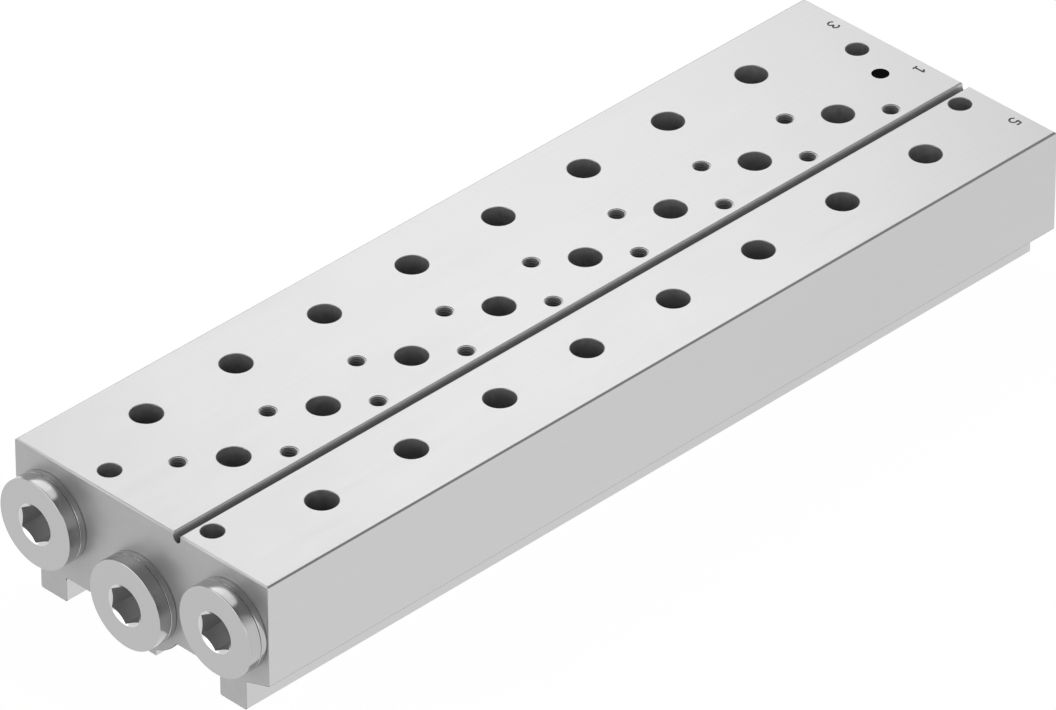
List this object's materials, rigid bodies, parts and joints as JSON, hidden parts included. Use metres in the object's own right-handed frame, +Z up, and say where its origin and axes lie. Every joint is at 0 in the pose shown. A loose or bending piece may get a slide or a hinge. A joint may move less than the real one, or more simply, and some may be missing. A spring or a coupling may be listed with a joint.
{
  "type": "valve connection block",
  "caption": "Extruded aluminium bar with a row of ported valve places on top, lengthwise air channels, tapped end ports, collar screw plugs and two feet with a centre boss.",
  "frame": {"origin": "on the foot plane, in the middle of the four mounting holes", "axes": "+Y along the bar towards the open ports, +Z up from the feet to the valve face, X across"},
  "size_m": [0.0934, 0.2988, 0.0427],
  "materials": {
    "aluminium": "extruded and machined, top face finely brushed",
    "plated_steel": "turned, nickel plated, bright",
    "ring_metal": "turned, bright",
    "black_plastic": "matt black"
  },
  "bodies": {
    "root": {"manifold_block": "aluminium", "plug_3": "plated_steel", "plug_1": "plated_steel", "plug_5": "plated_steel", "sealing_ring_3": "ring_metal", "sealing_ring_1": "ring_metal", "sealing_ring_5": "ring_metal", "black_insert": "black_plastic"}
  },
  "joints": []
}
